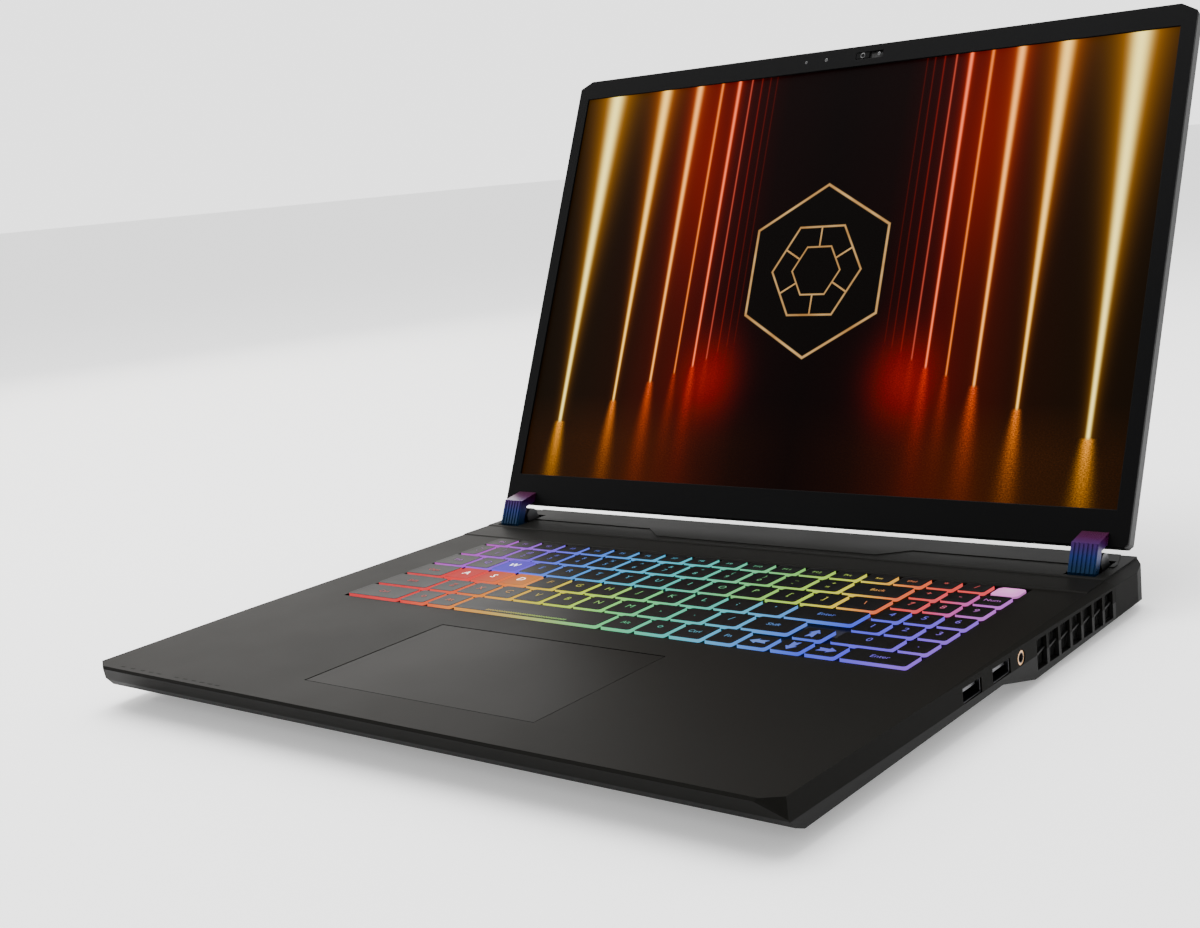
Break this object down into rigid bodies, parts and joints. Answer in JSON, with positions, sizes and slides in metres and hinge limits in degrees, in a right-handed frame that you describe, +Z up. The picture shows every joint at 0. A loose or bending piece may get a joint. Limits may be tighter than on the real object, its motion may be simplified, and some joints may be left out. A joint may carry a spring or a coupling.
{
  "type": "laptop computer",
  "caption": "Large gaming laptop standing open: dark shell, coloured backlit keys with a number pad, wide thin-bezel screen on two ribbed hinge arms, side sockets and vents.",
  "frame": {"origin": "on the resting surface under the middle of the open laptop's outline", "axes": "+Z up, the user sits on the -Y side, +X to the user's right"},
  "size_m": [0.386, 0.381, 0.2637],
  "materials": {
    "keycaps": "matt black with coloured light",
    "jack": "gold plated ring",
    "battery_pack": "matt",
    "tray": "black matt",
    "screws": "blackened",
    "lens": "polished",
    "camera_board": "black",
    "shutter": "matt",
    "display": "matt dark picture",
    "silicon": "polished die",
    "copper_pipes": "satin copper",
    "key_plate": "matt black",
    "fan_cases": "matt",
    "rotors": "matt",
    "fins": "bare",
    "hinge_arms": "blue to violet metallic paint",
    "hinge_steel": "satin",
    "speakers": "matt",
    "lid_shell": "dark anodised satin",
    "circuit_board": "lacquered",
    "memory": "lacquered",
    "socket_steel": "satin",
    "rear_shell": "dark satin",
    "feet": "matt",
    "bezel": "matt black",
    "drive": "lacquered",
    "deck": "dark anodised satin",
    "touchpad": "etched matt",
    "radio": "lacquered"
  },
  "bodies": {
    "base": {"audio_jack": "jack", "battery": "battery_pack", "bottom_cover": "tray", "bottom_screws": "screws", "graphics_chip": "silicon", "heat_pipes": "copper_pipes", "keyboard_plate": "key_plate", "left_fan_case": "fan_cases", "left_heatsink": "fins", "left_hinge_bracket": "hinge_steel", "left_hinge_shaft": "hinge_steel", "left_speaker": "speakers", "mainboard": "circuit_board", "memory_modules": "memory", "power_inlet": "socket_steel", "processor": "silicon", "rear_housing": "rear_shell", "right_fan_case": "fan_cases", "right_heatsink": "fins", "right_hinge_bracket": "hinge_steel", "right_hinge_shaft": "hinge_steel", "right_speaker": "speakers", "rubber_feet": "feet", "storage_drive": "drive", "top_cover": "deck", "usb_c_port": "socket_steel", "usb_port_front": "socket_steel", "usb_port_rear": "socket_steel", "video_port": "socket_steel", "wireless_card": "radio"},
    "lid": {"lid_cover": "lid_shell", "screen_bezel": "bezel", "display_panel": "display", "left_hinge_arm": "hinge_arms", "right_hinge_arm": "hinge_arms", "camera_module": "camera_board", "camera_lens": "lens"},
    "shutter": {"camera_shutter": "shutter"},
    "left_rotor": {"left_fan_rotor": "rotors"},
    "right_rotor": {"right_fan_rotor": "rotors"},
    "touchpad": {"touchpad": "touchpad"},
    "arrow_keys": {"arrow_keys": "keycaps"},
    "backspace_key": {"backspace_key": "keycaps"},
    "bottom_row_keys": {"bottom_row_keys": "keycaps"},
    "caps_key": {"caps_key": "keycaps"},
    "enter_key": {"enter_key": "keycaps"},
    "function_keys": {"function_keys": "keycaps"},
    "home_row_keys": {"home_row_keys": "keycaps"},
    "left_shift_key": {"left_shift_key": "keycaps"},
    "lit_keys": {"lit_keys": "keycaps"},
    "lower_row_keys": {"lower_row_keys": "keycaps"},
    "number_pad_keys": {"number_pad_keys": "keycaps"},
    "number_row_keys": {"number_row_keys": "keycaps"},
    "pad_enter_key": {"pad_enter_key": "keycaps"},
    "power_key": {"power_key": "keycaps"},
    "right_shift_key": {"right_shift_key": "keycaps"},
    "space_key": {"space_key": "keycaps"},
    "tab_key": {"tab_key": "keycaps"},
    "upper_row_keys": {"upper_row_keys": "keycaps"}
  },
  "joints": [
    {"name": "lid_hinge", "type": "hinge", "parent": "base", "child": "lid", "pos_m": [0, 0.07349, 0.024], "axis": [1, 0, 0], "range_deg": [-20, 115]},
    {"name": "shutter_slide", "type": "slide", "parent": "lid", "child": "shutter", "axis": [1, 0, 0], "range_m": [0, 0.008]},
    {"name": "left_rotor_spin", "type": "hinge", "parent": "base", "child": "left_rotor", "pos_m": [-0.124, 0.00049, 0.009], "axis": [0, 0, 1], "continuous": true},
    {"name": "right_rotor_spin", "type": "hinge", "parent": "base", "child": "right_rotor", "pos_m": [0.124, 0.00049, 0.009], "axis": [0, 0, 1], "continuous": true},
    {"name": "touchpad_press", "type": "hinge", "parent": "base", "child": "touchpad", "pos_m": [-0.0027, -0.09201, 0.0209], "axis": [1, 0, 0], "range_deg": [0, 0.35], "stiffness_Nm_per_rad": 6, "springref_deg": -0.34},
    {"name": "arrow_keys_press", "type": "slide", "parent": "base", "child": "arrow_keys", "axis": [0, 0, -1], "range_m": [0, 0.0014], "stiffness_N_per_m": 1500, "springref_m": -0.0006},
    {"name": "backspace_key_press", "type": "slide", "parent": "base", "child": "backspace_key", "axis": [0, 0, -1], "range_m": [0, 0.0014], "stiffness_N_per_m": 300, "springref_m": -0.0006},
    {"name": "bottom_row_keys_press", "type": "slide", "parent": "base", "child": "bottom_row_keys", "axis": [0, 0, -1], "range_m": [0, 0.0014], "stiffness_N_per_m": 1500, "springref_m": -0.0006},
    {"name": "caps_key_press", "type": "slide", "parent": "base", "child": "caps_key", "axis": [0, 0, -1], "range_m": [0, 0.0014], "stiffness_N_per_m": 300, "springref_m": -0.0006},
    {"name": "enter_key_press", "type": "slide", "parent": "base", "child": "enter_key", "axis": [0, 0, -1], "range_m": [0, 0.0014], "stiffness_N_per_m": 300, "springref_m": -0.0006},
    {"name": "function_keys_press", "type": "slide", "parent": "base", "child": "function_keys", "axis": [0, 0, -1], "range_m": [0, 0.0014], "stiffness_N_per_m": 1500, "springref_m": -0.0006},
    {"name": "home_row_keys_press", "type": "slide", "parent": "base", "child": "home_row_keys", "axis": [0, 0, -1], "range_m": [0, 0.0014], "stiffness_N_per_m": 1500, "springref_m": -0.0006},
    {"name": "left_shift_key_press", "type": "slide", "parent": "base", "child": "left_shift_key", "axis": [0, 0, -1], "range_m": [0, 0.0014], "stiffness_N_per_m": 300, "springref_m": -0.0006},
    {"name": "lit_keys_press", "type": "slide", "parent": "base", "child": "lit_keys", "axis": [0, 0, -1], "range_m": [0, 0.0014], "stiffness_N_per_m": 1500, "springref_m": -0.0006},
    {"name": "lower_row_keys_press", "type": "slide", "parent": "base", "child": "lower_row_keys", "axis": [0, 0, -1], "range_m": [0, 0.0014], "stiffness_N_per_m": 1500, "springref_m": -0.0006},
    {"name": "number_pad_keys_press", "type": "slide", "parent": "base", "child": "number_pad_keys", "axis": [0, 0, -1], "range_m": [0, 0.0014], "stiffness_N_per_m": 1500, "springref_m": -0.0006},
    {"name": "number_row_keys_press", "type": "slide", "parent": "base", "child": "number_row_keys", "axis": [0, 0, -1], "range_m": [0, 0.0014], "stiffness_N_per_m": 1500, "springref_m": -0.0006},
    {"name": "pad_enter_key_press", "type": "slide", "parent": "base", "child": "pad_enter_key", "axis": [0, 0, -1], "range_m": [0, 0.0014], "stiffness_N_per_m": 300, "springref_m": -0.0006},
    {"name": "power_key_press", "type": "slide", "parent": "base", "child": "power_key", "axis": [0, 0, -1], "range_m": [0, 0.0014], "stiffness_N_per_m": 300, "springref_m": -0.0006},
    {"name": "right_shift_key_press", "type": "slide", "parent": "base", "child": "right_shift_key", "axis": [0, 0, -1], "range_m": [0, 0.0014], "stiffness_N_per_m": 300, "springref_m": -0.0006},
    {"name": "space_key_press", "type": "slide", "parent": "base", "child": "space_key", "axis": [0, 0, -1], "range_m": [0, 0.0014], "stiffness_N_per_m": 300, "springref_m": -0.0006},
    {"name": "tab_key_press", "type": "slide", "parent": "base", "child": "tab_key", "axis": [0, 0, -1], "range_m": [0, 0.0014], "stiffness_N_per_m": 300, "springref_m": -0.0006},
    {"name": "upper_row_keys_press", "type": "slide", "parent": "base", "child": "upper_row_keys", "axis": [0, 0, -1], "range_m": [0, 0.0014], "stiffness_N_per_m": 1500, "springref_m": -0.0006}
  ]
}
